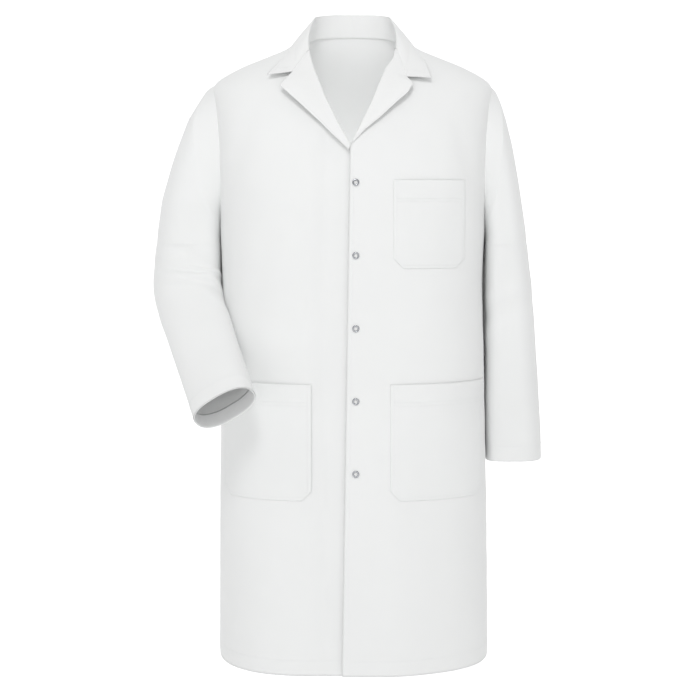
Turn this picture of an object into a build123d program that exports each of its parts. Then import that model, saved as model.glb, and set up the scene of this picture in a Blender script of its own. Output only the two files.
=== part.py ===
"""A long white lab coat as it hangs from its shoulders, with the fronts snapped shut.

Millimetres. X runs to the wearer's left, -Y is the front and +Z is up.
Heights in this file are above the hem. Each saved solid is moved down by HANG_HEIGHT,
so the saved frame's origin is the point between the shoulders that a hanger holds.
"""

from build123d import *
import math
import os

# ---- driving dimensions -------------------------------------------------------------
HANG_HEIGHT = 1020.0     # hem to the line between the neck ends of the shoulders
SKIRT_DROP = 10.0        # how far a cutting tool runs past an end
CLOTH = 1.5              # one layer of cloth
PLY_GAP = 0.8            # air between neighbouring layers
BODY_GAP = 0.4           # air between pieces that move apart
SWING_GAP = 1.4          # air above a moving strip, which rises a little as it swings out
SIDE_SEAM_Y = 8.0        # plane of the side and shoulder seams
SQUARENESS = 2.7         # exponent of the body's rounded cross-section
RING_POINTS = 28         # points on each cross-section

# height, half width, half depth and centre Y of the body
BODY = [
    (0, 229, 190, 0),
    (300, 226, 176, 0),
    (480, 223, 166, 0),
    (640, 223, 156, 0),
    (780, 226, 150, 0),
    (880, 229, 132, 4),
    (945, 222, 104, 8),
    (985, 168, 72, 15),
    (1012, 106, 58, 20),
    (1045, 74, 54, 24),
]

# front closure
FRONT_EDGE_TOP = -4.0    # X of the left front's edge at the V
FRONT_EDGE_HEM = -17.0   # X of the same edge at the hem
V_HEIGHT = 851.0         # bottom of the V
PLACKET_TOP = 845.0
LEFT_SEAM = 55.0         # |X| of the left moving strip's outer edge
RIGHT_SEAM = 46.0        # |X| of the right one's
FIXED_SEAM = 57.0        # |X| where the fixed part of each front begins
UNDERLAP = 30.0          # how far the right front reaches under the left
FACING_INSET = 4.0       # a facing is this much narrower than its strip
UNDER_DEPTH = 6.8        # how far the right front's strip lies behind the left's

# ring snaps
SNAP_X = 5.0
SNAP_TOP = 791.0
SNAP_PITCH = 116.0
SNAP_COUNT = 5
RING_OUTER = 5.7
RING_INNER = 3.0
RING_HEIGHT = 0.9
SOCKET_RADIUS = 5.2
SOCKET_BORE = 3.2
SOCKET_HEIGHT = 1.2
STUD_RADIUS = 1.9
STUD_BASE = 0.8
STUD_HEAD = 0.9
SNAP_GAP = 0.3           # air between a metal piece and what it sits against

# pockets: inner edge, outer edge, bottom, top
CHEST_POCKET = (65.0, 181.0, 654.0, 795.0)
LOWER_POCKET = (60.0, 214.0, 283.0, 470.0)
POCKET_EASE = 9.0        # how far a pocket stands off the front
POCKET_CORNER = 16.0     # cut across the lower corners

# sleeves, wearer's left: height, inner X, outer X, centre Y, half depth
SLEEVE_HEAD = [
    (940, 205, 240, 8, 30),
    (900, 205, 254, 8, 58),
    (840, 205, 269, 10, 76),
    (780, 215, 280, 14, 82),
]
LEFT_SLEEVE = SLEEVE_HEAD + [
    (715, 230, 289, 18, 82),
    (620, 230, 298, 22, 74),
    (470, 231, 310, 24, 66),
    (325, 232, 318, 26, 58),
]
RIGHT_SLEEVE = [
    (940, 205, 244, 8, 30),
    (900, 205, 272, 8, 56),
    (840, 208, 298, 8, 70),
    (780, 216, 316, 8, 74),
    (715, 230, 327, 6, 70),
    (640, 231, 340, -6, 62),
    (560, 232, 344, -20, 60),
]
HEAD_SEAM_INNER = (230.0, 700.0)   # slanting cut between sleeve head and upper sleeve
HEAD_SEAM_OUTER = (290.0, 733.0)
ELBOW_HEIGHT = 620.0
JOINT_GAP = 2.0
CUFF_HEM = 28.0

# wearer's right forearm: centre, half width and half depth at each end
UPPER_ARM_LINE = Vector(-0.15, 0.02, -0.99)
ELBOW_CENTRE = Vector(-294, -36, 612)
CUFF_CENTRE = Vector(-207, -220, 437)
ELBOW_HALF = (50.0, 46.0)
CUFF_HALF = (56.0, 40.0)
CREASE_REACH = 66.0      # elbow centre to the crease that the bend turns about
BEND_RELIEF = 11.0       # degrees cut away on each side of the bend, so the arm can straighten

# collar: half curves from the front end round to the centre back
COLLAR_FOLD = [(53, -92, 962), (69, -42, 1012), (67, 12, 1058), (42, 62, 1076), (0, 79, 1080)]
COLLAR_EDGE = [(133, -92, 962), (128, -46, 998), (116, 14, 1020), (88, 82, 1026), (0, 112, 1020)]
STAND_SEAM = [(75, -24, 1016), (71, 17, 1025), (47, 58, 1038), (0, 74, 1042)]
STAND_FOLD = [(66, -26, 1025), (62, 14, 1051), (39, 56, 1068), (0, 71, 1072)]
UNDER_COLLAR_DROP = 2.6
UNDER_COLLAR_CLOTH = 0.8

PARTS = "parts"


# ---- helpers ------------------------------------------------------------------------
def body_ring(height, half_width, half_depth, centre_y, grow):
    """One closed cross-section of the body, a superellipse grown outward by grow."""
    points = []
    for i in range(RING_POINTS):
        angle = 2 * math.pi * (i + 0.5) / RING_POINTS
        c, s = math.cos(angle), math.sin(angle)
        x = (half_width + grow) * math.copysign(abs(c) ** (2 / SQUARENESS), c)
        y = (half_depth + grow) * math.copysign(abs(s) ** (2 / SQUARENESS), s)
        points.append((x, centre_y + y, height))
    return Face(Wire(Spline(*points, periodic=True)))


def body_solid(grow, past_ends=0.0):
    """The space inside the body's surface, grown by grow and run past both ends."""
    rings = [list(row) for row in BODY]
    rings[0][0] -= past_ends
    rings[-1][0] += past_ends
    return loft([body_ring(*row, grow) for row in rings], ruled=True)


def body_shell(outside, thickness=CLOTH):
    """A layer of cloth whose outer face lies outside the body's surface by outside."""
    return body_solid(outside) - body_solid(outside - thickness, SKIRT_DROP)


def block(x_low, x_high, y_low, y_high, low, high):
    """A box between two corners."""
    size = (x_high - x_low, y_high - y_low, high - low)
    centre = ((x_low + x_high) / 2, (y_low + y_high) / 2, (low + high) / 2)
    return Pos(*centre) * Box(*size)


def front_prism(points, y_near=-300.0, y_far=SIDE_SEAM_Y):
    """A straight-sided outline, seen from the front, run back through the front."""
    outline = Polyline(*[(x, 0, z) for x, z in points], close=True)
    face = Face(Wire(outline))
    return Pos(0, y_far, 0) * Solid.extrude(face, Vector(0, y_near - y_far, 0))


def front_edge_x(height):
    """X of the left front's edge at a height."""
    part_way = (V_HEIGHT - height) / V_HEIGHT
    return FRONT_EDGE_TOP + (FRONT_EDGE_HEM - FRONT_EDGE_TOP) * part_way


def mirrored(solid):
    """The same piece on the other side of the coat."""
    return mirror(solid, about=Plane.YZ)


def save(name, solid):
    """Move a piece into the saved frame and write it."""
    export_step(Pos(0, 0, -HANG_HEIGHT) * solid, os.path.join(PARTS, name + ".step"))
    print(name, len(solid.solids()), "solid,", round(solid.volume), "mm3")


# ---- body panels --------------------------------------------------------------------
FRONT_HALF = block(-400, 400, -400, SIDE_SEAM_Y - BODY_GAP / 2, -50, 1200)
BACK_HALF = block(-400, 400, SIDE_SEAM_Y + BODY_GAP / 2, 400, -50, 1200)


def above_neck():
    """Everything above the neck seam, which slopes up to the back."""
    tilt = Rot(X=16)
    return Pos(0, 24, 1025) * tilt * Pos(0, 0, 200) * Box(400, 600, 400)


def armhole(side):
    """The opening in the body's side that a sleeve is set into."""
    round_hole = Rot(Y=90) * Cylinder(1, 160)
    return Pos(side * 260, 8, 822) * scale(round_hole, (1, 64, 116))


def v_opening():
    """The V between the two roll lines."""
    edge = [(0, V_HEIGHT), (31, 912), (54, 962), (71, 1012), (74, 1100)]
    outline = edge + [(-x, z) for x, z in reversed(edge[1:])]
    return front_prism(outline, y_far=30)


def neck_and_arms(shell):
    """Cut the neck and both armholes out of a layer of the body."""
    return shell - above_neck() - armhole(1) - armhole(-1)


def back_panel():
    return neck_and_arms(body_shell(0)) & BACK_HALF


def placket_outline(side, inset=0.0):
    """The moving strip of a front, seen from the front."""
    top = PLACKET_TOP - inset / 2
    if side > 0:
        seam = LEFT_SEAM - inset
        return [(front_edge_x(top), top), (seam, top), (seam, -SKIRT_DROP),
                (front_edge_x(-SKIRT_DROP), -SKIRT_DROP)]
    seam = inset - RIGHT_SEAM
    return [(UNDERLAP, top), (seam, top), (seam, -SKIRT_DROP), (UNDERLAP, -SKIRT_DROP)]


def fixed_front(side):
    """The part of a front that stays with the shoulders and the side seam."""
    shell = neck_and_arms(body_shell(0)) & FRONT_HALF
    strip = block(-FIXED_SEAM, FIXED_SEAM, -400, 0, -50, PLACKET_TOP + SWING_GAP)
    own_side = block(0, 400, -400, 100, -50, 1200)
    if side < 0:
        own_side = mirrored(own_side)
    return (shell - strip - v_opening()) & own_side


def placket(side, depth=0.0):
    """The moving strip of a front, with its face depth behind the body's surface."""
    return body_shell(-depth) & FRONT_HALF & front_prism(placket_outline(side))


def facing(side, depth=0.0):
    """The strip sewn behind the front edge."""
    layer = body_shell(-depth - CLOTH - PLY_GAP) & FRONT_HALF
    return layer & front_prism(placket_outline(side, FACING_INSET))


def lapel(side):
    """The top of the front and its facing, turned back on the roll line."""
    edge = [(2, V_HEIGHT + 2), (31, 913), (54, 961), (92, 966), (106, 941), (92, 926), (40, 880)]
    return body_shell(4.0, CLOTH) & front_prism([(side * x, z) for x, z in edge])


# ---- collar -------------------------------------------------------------------------
def half_band(lower, upper, thickness):
    """A ruled band of cloth between two curves, one half of it, made into a solid."""
    band = Face.make_surface_from_curves(Spline(*lower), Spline(*upper))
    return Solid.thicken(band, thickness)


def whole_band(lower, upper, thickness):
    """A band round the neck, its two halves joined at the centre back."""
    def both(curve):
        return curve + [(-x, y, z) for x, y, z in reversed(curve[:-1])]
    return half_band(both(lower), both(upper), thickness)


def upper_collar():
    return whole_band(COLLAR_EDGE, COLLAR_FOLD, CLOTH)


def under_collar():
    def lowered(curve):
        return [(x, y, z - UNDER_COLLAR_DROP) for x, y, z in curve]
    return whole_band(lowered(COLLAR_EDGE), lowered(COLLAR_FOLD), -UNDER_COLLAR_CLOTH)


def collar_stand():
    return whole_band(STAND_SEAM, STAND_FOLD, CLOTH)


# ---- pockets ------------------------------------------------------------------------
def pocket_outline(edges, inset=0.0, above=0.0):
    """A pocket seen from the front: square top, lower corners cut across."""
    inner, outer, bottom, top = edges
    inner, outer, bottom, top = inner + inset, outer - inset, bottom + inset, top + above
    cut = POCKET_CORNER
    return [(inner, top), (outer, top), (outer, bottom + cut), (outer - cut, bottom),
            (inner + cut, bottom), (inner, bottom + cut)]


def pocket(edges, side=1):
    """A patch pocket, a shallow bag closed at its sides and bottom by its seams."""
    outer = body_solid(POCKET_EASE + CLOTH) - body_solid(PLY_GAP, SKIRT_DROP)
    bag = outer & front_prism(pocket_outline(edges))
    room = body_solid(POCKET_EASE) & front_prism(pocket_outline(edges, CLOTH, SKIRT_DROP))
    bag = bag - room
    return bag if side > 0 else mirrored(bag)


# ---- sleeves ------------------------------------------------------------------------
def level_ellipse(height, inner, outer, centre_y, half_depth, wall, side):
    """One level cross-section of a hanging sleeve."""
    centre_x = side * (inner + outer) / 2
    return Pos(centre_x, centre_y, height) * Ellipse((outer - inner) / 2 - wall, half_depth - wall)


def hanging_tube(rows, side, wall=CLOTH, skin=0.0):
    """A sleeve that hangs, as a tube open at its lower end."""
    inner_rows = [list(row) for row in rows]
    inner_rows[-1][0] -= SKIRT_DROP
    whole = loft([level_ellipse(*row, skin, side) for row in rows], ruled=True)
    room = loft([level_ellipse(*row, skin + wall, side) for row in inner_rows], ruled=True)
    return whole - room


def below_head_seam(side, drop=0.0):
    """Everything below the slanting cut between a sleeve's head and its upper part."""
    (xi, zi), (xo, zo) = HEAD_SEAM_INNER, HEAD_SEAM_OUTER
    slope = (zo - zi) / (xo - xi)
    left, right = 150, 420
    points = [
        (side * left, zi + slope * (left - xi) - drop),
        (side * right, zi + slope * (right - xi) - drop),
        (side * right, 200),
        (side * left, 200),
    ]
    return front_prism(points, -300, 300)


def sleeve_head(rows, side):
    """The top of a sleeve, sewn to the armhole."""
    return hanging_tube(rows, side) - below_head_seam(side) - body_solid(PLY_GAP, SKIRT_DROP)


def left_upper_sleeve():
    tube = hanging_tube(LEFT_SLEEVE, 1) & below_head_seam(1, JOINT_GAP)
    return tube & block(150, 420, -300, 300, ELBOW_HEIGHT + JOINT_GAP / 2, 800)


def left_forearm_sleeve():
    tube = hanging_tube(LEFT_SLEEVE, 1)
    return tube & block(150, 420, -300, 300, 0, ELBOW_HEIGHT - JOINT_GAP / 2)


def left_cuff_hem():
    tube = hanging_tube(LEFT_SLEEVE, 1, CLOTH, CLOTH + PLY_GAP)
    cuff_end = LEFT_SLEEVE[-1][0]
    return tube & block(150, 420, -300, 300, cuff_end + 0.5, cuff_end + CUFF_HEM)


def forearm_plane(part_way):
    """A plane across the wearer's right forearm, part_way from the elbow to the cuff."""
    along = (CUFF_CENTRE - ELBOW_CENTRE).normalized()
    centre = ELBOW_CENTRE + (CUFF_CENTRE - ELBOW_CENTRE) * part_way
    across = Vector(1, 0, 0) - along * along.X
    return Plane(origin=centre, x_dir=across.normalized(), z_dir=along)


def bend_plane(relief):
    """The plane through the right elbow's crease that parts the two arms of the bend."""
    down = (CUFF_CENTRE - ELBOW_CENTRE).normalized()
    to_crease = (down - UPPER_ARM_LINE).normalized()
    middle = (down + UPPER_ARM_LINE).normalized()
    crease = ELBOW_CENTRE + to_crease * CREASE_REACH
    angle = math.radians(relief)
    normal = middle * math.cos(angle) + to_crease * math.sin(angle)
    return Plane(origin=crease, x_dir=to_crease.cross(middle), z_dir=normal)


def one_side(plane, forward):
    """All the space on one side of a plane, less half the joint's gap."""
    depth = 500
    return plane * Pos(0, 0, forward * (depth + JOINT_GAP) / 2) * Box(900, 900, depth)


def right_upper_sleeve():
    tube = hanging_tube(RIGHT_SLEEVE, -1) & below_head_seam(-1, JOINT_GAP)
    return tube & one_side(bend_plane(-BEND_RELIEF), -1)


def forearm_tube(start, end, skin, wall=CLOTH):
    """A stretch of the wearer's right forearm sleeve."""
    def section(part_way, shrink):
        half_x = ELBOW_HALF[0] + (CUFF_HALF[0] - ELBOW_HALF[0]) * part_way - shrink
        half_y = ELBOW_HALF[1] + (CUFF_HALF[1] - ELBOW_HALF[1]) * part_way - shrink
        return forearm_plane(part_way) * Ellipse(half_x, half_y)

    past = SKIRT_DROP / (CUFF_CENTRE - ELBOW_CENTRE).length
    whole = loft([section(start, skin), section(end, skin)], ruled=True)
    room = loft([section(start - past, skin + wall), section(end + past, skin + wall)], ruled=True)
    return whole - room


def right_forearm_sleeve():
    return forearm_tube(-0.45, 1, 0) & one_side(bend_plane(BEND_RELIEF), 1)


def right_cuff_hem():
    length = (CUFF_CENTRE - ELBOW_CENTRE).length
    return forearm_tube(1 - CUFF_HEM / length, 1 - 0.5 / length, CLOTH + PLY_GAP)


# ---- ring snaps ---------------------------------------------------------------------
def front_seat(height):
    """The body's surface at a snap: the place on it and the direction straight out of it."""
    line = Axis((SNAP_X, -400, height), (0, 1, 0))
    place, out = body_solid(0).find_intersection_points(line)[0]
    if out.Y > 0:
        out = -out
    return place, out


def snap_row(make_piece, depth, lift):
    """The same metal piece at each snap, lifted off the face that lies depth behind the surface."""
    pieces = []
    for i in range(SNAP_COUNT):
        place, out = front_seat(SNAP_TOP - i * SNAP_PITCH)
        seat = Plane(origin=place + Vector(0, depth, 0), x_dir=(1, 0, 0), z_dir=out)
        piece = seat.location * Pos(0, 0, lift) * make_piece()
        pieces.append(piece.solid())
    return Compound(children=pieces)


def prong_ring():
    """An open ring with a rounded rim, rising from its flat back."""
    rim = (RING_OUTER - RING_INNER) / 2
    section = Plane.XZ * Pos(RING_INNER + rim, 0) * Ellipse(rim, RING_HEIGHT)
    ring = revolve(section, Axis.Z)
    return ring & Pos(0, 0, RING_HEIGHT) * Box(20, 20, 2 * RING_HEIGHT)


def back_ring():
    """The prong ring on the inside of the right front, its rim turned to the wearer."""
    return Rot(X=180) * prong_ring()


def socket():
    """The disc with a bore that the stud's head snaps into."""
    disc = Cylinder(SOCKET_RADIUS, SOCKET_HEIGHT) - Cylinder(SOCKET_BORE, 2 * SOCKET_HEIGHT)
    return Pos(0, 0, SOCKET_HEIGHT / 2) * disc


def stud():
    """A base disc with a round head."""
    base = Pos(0, 0, STUD_BASE / 2) * Cylinder(SOCKET_RADIUS, STUD_BASE)
    return base + Pos(0, 0, STUD_BASE + STUD_HEAD / 2) * Cylinder(STUD_RADIUS, STUD_HEAD)


# ---- write the pieces ---------------------------------------------------------------
os.makedirs(PARTS, exist_ok=True)

save("back_panel", back_panel())
save("left_front_panel", fixed_front(1))
save("right_front_panel", fixed_front(-1))
save("left_placket", placket(1))
save("right_placket", placket(-1, UNDER_DEPTH))
save("left_front_facing", facing(1))
save("right_front_facing", facing(-1, UNDER_DEPTH))
save("left_lapel", lapel(1))
save("right_lapel", lapel(-1))
save("upper_collar", upper_collar())
save("under_collar", under_collar())
save("collar_stand", collar_stand())
save("chest_pocket", pocket(CHEST_POCKET))
save("left_lower_pocket", pocket(LOWER_POCKET))
save("right_lower_pocket", pocket(LOWER_POCKET, -1))
save("left_sleeve_head", sleeve_head(LEFT_SLEEVE, 1))
save("left_upper_sleeve", left_upper_sleeve())
save("left_forearm_sleeve", left_forearm_sleeve())
save("left_cuff_hem", left_cuff_hem())
save("right_sleeve_head", sleeve_head(RIGHT_SLEEVE, -1))
save("right_upper_sleeve", right_upper_sleeve())
save("right_forearm_sleeve", right_forearm_sleeve())
save("right_cuff_hem", right_cuff_hem())

left_back = 2 * CLOTH + PLY_GAP
save("snap_prong_rings", snap_row(prong_ring, 0, SNAP_GAP))
save("snap_sockets", snap_row(socket, left_back, -SNAP_GAP - SOCKET_HEIGHT))
save("snap_studs", snap_row(stud, UNDER_DEPTH, SNAP_GAP))
save("snap_back_rings", snap_row(back_ring, UNDER_DEPTH + left_back, -SNAP_GAP))
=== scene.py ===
"""The lab coat's looks: cloth, stitching, metal, light and camera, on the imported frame.

Lengths are millimetres and heights are above the hem until to_frame() turns them into
the frame's metres. +X is the wearer's left, -Y is the front.
"""

import math
import bpy
import numpy as np
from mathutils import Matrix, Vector


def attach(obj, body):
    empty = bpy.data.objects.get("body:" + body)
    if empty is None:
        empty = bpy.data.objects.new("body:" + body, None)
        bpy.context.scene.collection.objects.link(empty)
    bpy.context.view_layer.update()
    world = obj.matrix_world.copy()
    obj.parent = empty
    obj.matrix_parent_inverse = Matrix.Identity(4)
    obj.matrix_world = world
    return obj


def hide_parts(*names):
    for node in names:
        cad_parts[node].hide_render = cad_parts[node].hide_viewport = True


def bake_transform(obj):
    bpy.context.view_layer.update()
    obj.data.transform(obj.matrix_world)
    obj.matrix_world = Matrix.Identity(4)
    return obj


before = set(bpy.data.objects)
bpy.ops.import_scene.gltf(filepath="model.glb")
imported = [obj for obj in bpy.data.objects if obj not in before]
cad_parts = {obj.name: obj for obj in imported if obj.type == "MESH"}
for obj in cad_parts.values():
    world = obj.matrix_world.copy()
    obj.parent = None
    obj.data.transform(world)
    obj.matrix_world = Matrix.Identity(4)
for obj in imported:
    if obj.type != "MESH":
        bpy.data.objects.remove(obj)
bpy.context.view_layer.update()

# ---- driving dimensions ----------------------------------------------
HANG_HEIGHT = 1020.0     # hem to the hanger point, the frame's origin
SIDE_NAME = {1: "left", -1: "right"}         # the wearer's side, by the sign of X
CLOTH = 0.9              # thickness of one layer as it shows
SQUARENESS = 2.7         # exponent of the body's rounded cross-section

# height, half width, half depth and centre Y of the body
BODY = np.array([
    (-20, 228, 191, 0),
    (0, 228, 190, 0),
    (300, 224, 176, 0),
    (480, 220.5, 166, 0),
    (640, 217.5, 156, 0),
    (780, 223, 150, 0),
    (880, 229, 132, 4),
    (945, 233, 104, 8),
    (955, 230, 99, 9),
    (965, 217, 90, 11),
    (975, 200, 80, 13),
    (985, 179, 72, 15),
    (1003, 134, 62, 18),
    (1012, 110, 58, 20),
    (1045, 72, 54, 24),
    (1060, 62, 52, 26),
], float)
ROW_SOFTNESS = 9.0       # height over which the rows' corners are rounded
DEPTH_SOFTNESS = 38.0    # the same for the depth, which shows in the front's shading

FRONT_EDGE = ((0, -17.0), (851, -4.0))       # height, X of the left front's edge
UNDERLAP = 30.0          # X that the right front reaches under the left
UNDER_DEPTH = 6.8        # how far it lies behind there
UNDER_FROM = 78.0        # |X| where it starts to sink, and the width over which it does
UNDER_BAND = 40.0
FACING_TOP = 846.0
FACING_WIDTH = 58.0
FACING_COLUMNS = 24
FACING_CLOTH = 0.7
V_HEIGHT = 851.0         # bottom of the V
FRONT_TOP = 1024.0       # the grids run on up to here, past the neck seam
BACK_TOP = 1046.0
HEM_RISE = 25.0          # the hem's stitching above its edge
NECK_TILT = 16.0         # slope of the neck seam, degrees
NECK_POINT = (24.0, 1025.0)                  # Y and height of a point on it

# roll line of each side: height, |X|
ROLL = {
    1: ((851, -3), (882, 12), (915, 28.5), (948, 42), (974, 53), (990, 65), (1012, 70), (1040, 72)),
    -1: ((848, 4), (858, 7), (887, 23.5), (931, 45), (974, 62), (1001, 69.5), (1040, 73)),
}
# lapel's outer edge from the V to the tip: |X| and height
LAPEL_EDGE = {
    1: ((-1, 853), (20, 874), (44.5, 893), (69, 914.5), (88, 930), (96, 943)),
    -1: ((6, 843), (28, 862.5), (52.5, 885), (85.5, 914.5), (115.5, 940)),
}
# where the lapel meets the collar: |X| and height of the notch and of the gorge's upper end
LAPEL_NOTCH = {1: (86.5, 958), -1: (96.5, 966)}
GORGE_TOP = {1: (70, 1009), -1: (70, 1007)}
ROLL_RADIUS = 3.0
# how far the lapel's outer edge stands off the front: shares of the way up, then millimetres
LAPEL_STAND = ((0, 0.2, 0.45, 0.6, 0.67, 0.746, 1), (1.5, 6.0, 11.0, 13.0, 11.5, 7.2, 2.5))
LAPEL_UNDER = 3.0        # how far the lapel runs on under the collar
LAPEL_CLOTH = 1.5

# collar, half curves from the gorge round to the centre back
COLLAR_TIP = {1: (126, 953), -1: (136, 958)}
COLLAR_SEAM = [(70, -32, 1008), (74, -4, 1016), (75, 26, 1023),
               (62, 62, 1032), (34, 74, 1036), (0, 76.5, 1037)]
COLLAR_FOLD = [(70, -37, 1010), (70, -14, 1041), (63, 14, 1065),
               (58, 48, 1074), (34, 70, 1079), (0, 77, 1080)]
COLLAR_EDGE = [(118, -42, 992), (108, 14, 1012), (97, 60, 1016), (60, 94, 1018), (0, 106, 1018)]
COLLAR_CLOTH = 1.7

# pockets: inner edge, outer edge, bottom, top
CHEST_POCKET = (65.0, 181.0, 654.0, 795.0)
LEFT_LOWER_POCKET = (60.0, 214.0, 283.0, 470.0)
RIGHT_LOWER_POCKET = (66.0, 214.0, 283.0, 470.0)
POCKET_CORNER = 16.0     # the cut across each lower corner
POCKET_HEM = 31.0        # depth of the hem at the mouth
# the pocket's turned edge: distance in from it, and height there above the front
POCKET_RIM = (0.0, 0.9, 2.0)
POCKET_LIFT = (0.9, 1.5, 1.55)

# armhole ellipse: centre Y and height, half depth, half height
ARMHOLE = (8.0, 832.0, 64.0, 127.0)
CAP_LOW = 690.0          # height where the sleeve's rings become level

# sleeves: height, inner |X|, outer |X|, centre Y, half depth
LEFT_ROWS = np.array([
    (965, 205, 222, 8, 18),
    (955, 205, 231, 8, 24),
    (945, 205, 238, 8, 32),
    (925, 205, 247, 8, 44),
    (896, 205, 256, 8, 58),
    (854, 208, 266, 9, 74),
    (796, 214, 277, 13, 81),
    (715, 221, 291, 18, 82),
    (620, 222.5, 302, 22, 74),
    (470, 224, 316, 24, 66),
    (325, 226, 323, 26, 58),
], float)
RIGHT_ROWS = np.array([
    (965, 205, 223, 8, 18),
    (955, 205, 236, 8, 24),
    (945, 205, 243, 8, 32),
    (925, 205, 256, 8, 44),
    (896, 205, 274, 8, 56),
    (854, 206, 290, 8, 66),
    (829, 208, 299, 8, 70),
    (763, 215, 319, 8, 74),
    (712, 219, 327, 6, 70),
    (640, 219, 333, -6, 62),
    (560, 218, 330, -20, 60),
], float)
SLEEVE_SQUARE = 2.45     # exponent of the sleeves' rounded cross-section
SIDE_SQUARE = 4.6        # the same where a sleeve lies flat against the body
LEFT_CUFF = 325.0        # height of the left sleeve's end
CUFF_HEM = 28.0          # depth of the hem turned inside a sleeve's end
# the bent sleeve below its elbow: centres, and half widths across and front to back
ELBOW_CENTRE = np.array((-276.0, -36.0, 610.0))
CUFF_CENTRE = np.array((-200.0, -220.0, 440.0))
ELBOW_HALF = (56.0, 47.0)
CUFF_HALF = (52.5, 34.0)
CUFF_TURN = 27.0         # degrees the cuff's long axis has turned, its outer end down
RIGHT_CREASE = (-260.0, -87.0, 636.0)        # inside of the bent elbow
BEND_MIDDLE = (0.098, -0.374, -0.922)        # direction of the arm halfway round the bend

SNAP_X = 5.0
SNAP_TOP = 791.0
SNAP_PITCH = 116.0
SNAP_HEIGHTS = [SNAP_TOP - SNAP_PITCH * i for i in range(5)]

STITCH = 2.6             # length of one stitch
STITCH_GAP = 0.7
THREAD = 0.28            # radius of the thread
STITCH_SIDES = 6

RIB_SCALE = 1450.0 / (2 * math.pi)       # scale of the wave that draws the ribs, 1.4 mm apart
YARN_SCALE = 2600.0 / (2 * math.pi)      # the same for the yarns across them, 0.8 mm apart


# ---- numbers to frame ------------------------------------------------
def to_frame(points):
    """Millimetres with heights above the hem, as metres in the frame."""
    moved = np.array(points, float)
    moved[..., 2] -= HANG_HEIGHT
    return moved / 1000.0


def smooth(t):
    """0 below 0, 1 above 1 and an even turn between."""
    t = np.clip(t, 0.0, 1.0)
    return t * t * (3 - 2 * t)


def bump(value, centre, width):
    """A soft ridge, 1 at centre."""
    return np.exp(-((value - centre) / width) ** 2)


def unit(vectors):
    """A vector, or each of an array's vectors, at length 1."""
    return vectors / np.maximum(np.linalg.norm(vectors, axis=-1, keepdims=True), 1e-9)


def distances(points):
    """How far along a polyline each of its points lies."""
    steps = np.linalg.norm(np.diff(points, axis=0), axis=1)
    return np.concatenate([[0], np.cumsum(steps)])


def look_up(wanted, known, table):
    """Each column of a table, read between its rows."""
    return np.stack([np.interp(wanted, known, table[:, k]) for k in range(table.shape[1])], -1)


def curve(points, count):
    """A smooth curve through points, count samples evenly spread along it."""
    p = np.array(points, float)
    p = np.vstack([2 * p[0] - p[1], p, 2 * p[-1] - p[-2]])
    samples = []
    for i in range(1, len(p) - 2):
        t = np.linspace(0, 1, 40, endpoint=i == len(p) - 3)[:, None]
        a, b, c, d = p[i - 1], p[i], p[i + 1], p[i + 2]
        samples.append(0.5 * (2 * b + (c - a) * t + (2 * a - 5 * b + 4 * c - d) * t ** 2
                              + (3 * b - a - 3 * c + d) * t ** 3))
    return spread(np.vstack(samples), count)


def spread(dense, count):
    """A polyline resampled at even distances."""
    along = distances(dense)
    return look_up(np.linspace(0, along[-1], count), along, dense)


def table_at(rows, column, height):
    """A column of a height-first table, linear between rows."""
    order = np.argsort(rows[:, 0])
    return np.interp(height, rows[order, 0], rows[order, column])


def soft_table(rows, column, height, softness=ROW_SOFTNESS):
    """The same with the corners at the rows rounded off."""
    height = np.asarray(height, float)
    total = 0.0
    for k in range(-4, 5):
        total = total + (5 - abs(k)) * table_at(rows, column, height + k * softness / 4)
    return total / 25


def body_at(height):
    """Half width, half depth and centre Y of the body."""
    softness = (ROW_SOFTNESS, DEPTH_SOFTNESS, DEPTH_SOFTNESS)
    return [soft_table(BODY, k + 1, height, softness[k]) for k in range(3)]


def front_y(x, height):
    """Y of the body's front surface."""
    a, b, c = body_at(height)
    share = np.clip(np.abs(x) / a, 0, 0.9999)
    return c - b * (1 - share ** SQUARENESS) ** (1 / SQUARENESS)


def front_normal(x, height):
    """Outward unit vector of the front surface, from its slopes across and up."""
    step = 2.0
    across = (front_y(x + step, height) - front_y(x - step, height)) / (2 * step)
    up = (front_y(x, height + step) - front_y(x, height - step)) / (2 * step)
    across = np.clip(across, -3, 3)
    up = np.clip(up, -3, 3)
    return unit(np.stack(np.broadcast_arrays(across, -1.0, up), -1))


def on_front(x, height, out):
    """Points on the front, out from its surface, drape included."""
    x, height, out = np.broadcast_arrays(np.asarray(x, float), height, out)
    base = np.stack([x, front_y(x, height), height], -1)
    return base + front_normal(x, height) * (out + drape(x, height))[..., None]


def drape(x, height):
    """Soft hollows and swells of the fronts, none where the snaps sit."""
    calm = smooth((np.abs(x) - 30) / 50)
    low = smooth((640 - height) / 600)
    # flutes that deepen to the hem, then waves and pulls at the waist, pocket and arm
    flute = 2.6 * low * np.sin(x / 31.0 + 0.5 * np.sin(height / 210.0))
    chest = 1.5 * bump(height, 610, 70) * np.sin((x + 0.35 * height) / 38.0)
    pull = 2.0 * bump(x - 0.42 * (height - 560), -150, 26) * bump(height, 590, 130)
    dent = -8.0 * bump(x, -144, 27) * bump(height, 474, 28)
    dent = dent + 3.0 * bump(x, -132, 34) * bump(height, 534, 28)
    arm = 2.6 * bump(np.abs(x) + 0.3 * (height - 860), 178, 17) * bump(height, 830, 70)
    ripple = 0.35 * np.sin(x / 11.0 + height / 23.0) * np.sin(height / 17.0 - x / 29.0)
    return calm * (flute + chest + pull + dent - arm + ripple)


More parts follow.
